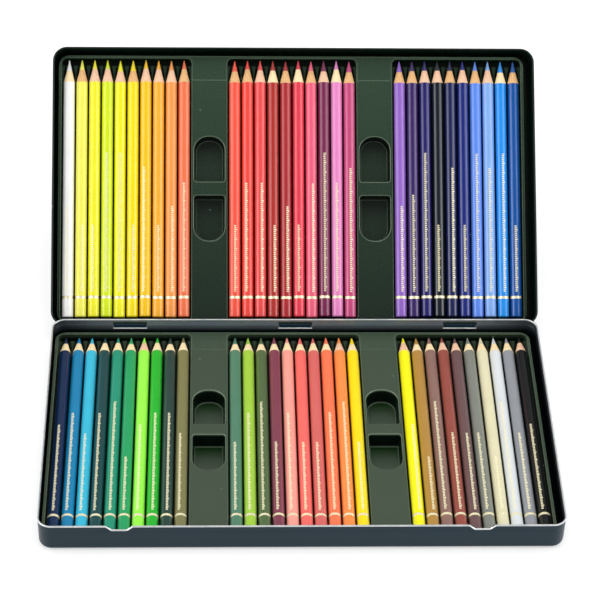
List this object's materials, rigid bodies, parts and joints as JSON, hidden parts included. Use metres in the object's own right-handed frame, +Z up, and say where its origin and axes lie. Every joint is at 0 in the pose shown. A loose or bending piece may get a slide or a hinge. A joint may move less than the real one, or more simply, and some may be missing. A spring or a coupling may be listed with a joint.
{
  "type": "coloured pencil tin",
  "caption": "Flat hinged steel tin, lid open, with rows of coloured pencils in formed trays in the base and in the lid.",
  "frame": {"origin": "the centre of the base tin's underside, midway between its sides and midway between its front and back rims", "axes": "+X to the right along the hinge, +Y from the front edge back to the hinge, +Z up from the table"},
  "size_m": [0.3248, 0.3382, 0.1401],
  "materials": {
    "tin_lacquer": "dark slate-green lacquer, satin",
    "tray_plastic": "dark green formed sheet, eggshell",
    "lacquered_wood_pale_yellow": "gloss lacquer over wood, bare wood cone",
    "lead_pale_yellow": "waxy pencil core",
    "lacquered_wood_yellow": "gloss lacquer over wood, bare wood cone",
    "lead_yellow": "waxy pencil core",
    "lacquered_wood_orange": "gloss lacquer over wood, bare wood cone",
    "lead_orange": "waxy pencil core",
    "lacquered_wood_scarlet": "gloss lacquer over wood, bare wood cone",
    "lead_scarlet": "waxy pencil core",
    "lacquered_wood_crimson": "gloss lacquer over wood, bare wood cone",
    "lead_crimson": "waxy pencil core",
    "lacquered_wood_pink": "gloss lacquer over wood, bare wood cone",
    "lead_pink": "waxy pencil core",
    "lacquered_wood_violet": "gloss lacquer over wood, bare wood cone",
    "lead_violet": "waxy pencil core",
    "lacquered_wood_indigo": "gloss lacquer over wood, bare wood cone",
    "lead_indigo": "waxy pencil core",
    "lacquered_wood_sky_blue": "gloss lacquer over wood, bare wood cone",
    "lead_sky_blue": "waxy pencil core",
    "lacquered_wood_marine_blue": "gloss lacquer over wood, bare wood cone",
    "lead_marine_blue": "waxy pencil core",
    "lacquered_wood_teal_green": "gloss lacquer over wood, bare wood cone",
    "lead_teal_green": "waxy pencil core",
    "lacquered_wood_leaf_green": "gloss lacquer over wood, bare wood cone",
    "lead_leaf_green": "waxy pencil core",
    "lacquered_wood_olive_green": "gloss lacquer over wood, bare wood cone",
    "lead_olive_green": "waxy pencil core",
    "lacquered_wood_coral": "gloss lacquer over wood, bare wood cone",
    "lead_coral": "waxy pencil core",
    "lacquered_wood_amber": "gloss lacquer over wood, bare wood cone",
    "lead_amber": "waxy pencil core",
    "lacquered_wood_ochre": "gloss lacquer over wood, bare wood cone",
    "lead_ochre": "waxy pencil core",
    "lacquered_wood_brown": "gloss lacquer over wood, bare wood cone",
    "lead_brown": "waxy pencil core",
    "lacquered_wood_grey": "gloss lacquer over wood, bare wood cone",
    "lead_grey": "waxy pencil core"
  },
  "bodies": {
    "base": {"base_tin": "tin_lacquer"},
    "base_tray": {"base_tray": "tray_plastic"},
    "lid": {"lid_tin": "tin_lacquer", "lid_tray": "tray_plastic"},
    "lid_left_pale_yellow": {"lid_left_pale_yellow_casings": "lacquered_wood_pale_yellow", "lid_left_pale_yellow_leads": "lead_pale_yellow"},
    "lid_left_yellow": {"lid_left_yellow_casings": "lacquered_wood_yellow", "lid_left_yellow_leads": "lead_yellow"},
    "lid_left_orange": {"lid_left_orange_casings": "lacquered_wood_orange", "lid_left_orange_leads": "lead_orange"},
    "lid_middle_scarlet": {"lid_middle_scarlet_casings": "lacquered_wood_scarlet", "lid_middle_scarlet_leads": "lead_scarlet"},
    "lid_middle_crimson": {"lid_middle_crimson_casings": "lacquered_wood_crimson", "lid_middle_crimson_leads": "lead_crimson"},
    "lid_middle_pink": {"lid_middle_pink_casings": "lacquered_wood_pink", "lid_middle_pink_leads": "lead_pink"},
    "lid_right_violet": {"lid_right_violet_casings": "lacquered_wood_violet", "lid_right_violet_leads": "lead_violet"},
    "lid_right_indigo": {"lid_right_indigo_casings": "lacquered_wood_indigo", "lid_right_indigo_leads": "lead_indigo"},
    "lid_right_sky_blue": {"lid_right_sky_blue_casings": "lacquered_wood_sky_blue", "lid_right_sky_blue_leads": "lead_sky_blue"},
    "base_left_marine_blue": {"base_left_marine_blue_casings": "lacquered_wood_marine_blue", "base_left_marine_blue_leads": "lead_marine_blue"},
    "base_left_teal_green": {"base_left_teal_green_casings": "lacquered_wood_teal_green", "base_left_teal_green_leads": "lead_teal_green"},
    "base_left_leaf_green": {"base_left_leaf_green_casings": "lacquered_wood_leaf_green", "base_left_leaf_green_leads": "lead_leaf_green"},
    "base_middle_olive_green": {"base_middle_olive_green_casings": "lacquered_wood_olive_green", "base_middle_olive_green_leads": "lead_olive_green"},
    "base_middle_coral": {"base_middle_coral_casings": "lacquered_wood_coral", "base_middle_coral_leads": "lead_coral"},
    "base_middle_amber": {"base_middle_amber_casings": "lacquered_wood_amber", "base_middle_amber_leads": "lead_amber"},
    "base_right_ochre": {"base_right_ochre_casings": "lacquered_wood_ochre", "base_right_ochre_leads": "lead_ochre"},
    "base_right_brown": {"base_right_brown_casings": "lacquered_wood_brown", "base_right_brown_leads": "lead_brown"},
    "base_right_grey": {"base_right_grey_casings": "lacquered_wood_grey", "base_right_grey_leads": "lead_grey"}
  },
  "joints": [
    {"name": "lid_hinge", "type": "hinge", "parent": "base", "child": "lid", "pos_m": [0, 0.0936, 0.0154], "axis": [1, 0, 0], "range_deg": [0, 138.5]},
    {"name": "base_tray_lift", "type": "slide", "parent": "base", "child": "base_tray", "axis": [0, 0, 1], "range_m": [0, 0.06]},
    {"name": "lid_left_pale_yellow_lift", "type": "slide", "parent": "lid", "child": "lid_left_pale_yellow", "axis": [0, -0.6626, 0.749], "range_m": [0, 0.04]},
    {"name": "lid_left_yellow_lift", "type": "slide", "parent": "lid", "child": "lid_left_yellow", "axis": [0, -0.6626, 0.749], "range_m": [0, 0.04]},
    {"name": "lid_left_orange_lift", "type": "slide", "parent": "lid", "child": "lid_left_orange", "axis": [0, -0.6626, 0.749], "range_m": [0, 0.04]},
    {"name": "lid_middle_scarlet_lift", "type": "slide", "parent": "lid", "child": "lid_middle_scarlet", "axis": [0, -0.6626, 0.749], "range_m": [0, 0.04]},
    {"name": "lid_middle_crimson_lift", "type": "slide", "parent": "lid", "child": "lid_middle_crimson", "axis": [0, -0.6626, 0.749], "range_m": [0, 0.04]},
    {"name": "lid_middle_pink_lift", "type": "slide", "parent": "lid", "child": "lid_middle_pink", "axis": [0, -0.6626, 0.749], "range_m": [0, 0.04]},
    {"name": "lid_right_violet_lift", "type": "slide", "parent": "lid", "child": "lid_right_violet", "axis": [0, -0.6626, 0.749], "range_m": [0, 0.04]},
    {"name": "lid_right_indigo_lift", "type": "slide", "parent": "lid", "child": "lid_right_indigo", "axis": [0, -0.6626, 0.749], "range_m": [0, 0.04]},
    {"name": "lid_right_sky_blue_lift", "type": "slide", "parent": "lid", "child": "lid_right_sky_blue", "axis": [0, -0.6626, 0.749], "range_m": [0, 0.04]},
    {"name": "base_left_marine_blue_lift", "type": "slide", "parent": "base_tray", "child": "base_left_marine_blue", "axis": [0, 0, 1], "range_m": [0, 0.04]},
    {"name": "base_left_teal_green_lift", "type": "slide", "parent": "base_tray", "child": "base_left_teal_green", "axis": [0, 0, 1], "range_m": [0, 0.04]},
    {"name": "base_left_leaf_green_lift", "type": "slide", "parent": "base_tray", "child": "base_left_leaf_green", "axis": [0, 0, 1], "range_m": [0, 0.04]},
    {"name": "base_middle_olive_green_lift", "type": "slide", "parent": "base_tray", "child": "base_middle_olive_green", "axis": [0, 0, 1], "range_m": [0, 0.04]},
    {"name": "base_middle_coral_lift", "type": "slide", "parent": "base_tray", "child": "base_middle_coral", "axis": [0, 0, 1], "range_m": [0, 0.04]},
    {"name": "base_middle_amber_lift", "type": "slide", "parent": "base_tray", "child": "base_middle_amber", "axis": [0, 0, 1], "range_m": [0, 0.04]},
    {"name": "base_right_ochre_lift", "type": "slide", "parent": "base_tray", "child": "base_right_ochre", "axis": [0, 0, 1], "range_m": [0, 0.04]},
    {"name": "base_right_brown_lift", "type": "slide", "parent": "base_tray", "child": "base_right_brown", "axis": [0, 0, 1], "range_m": [0, 0.04]},
    {"name": "base_right_grey_lift", "type": "slide", "parent": "base_tray", "child": "base_right_grey", "axis": [0, 0, 1], "range_m": [0, 0.04]}
  ]
}
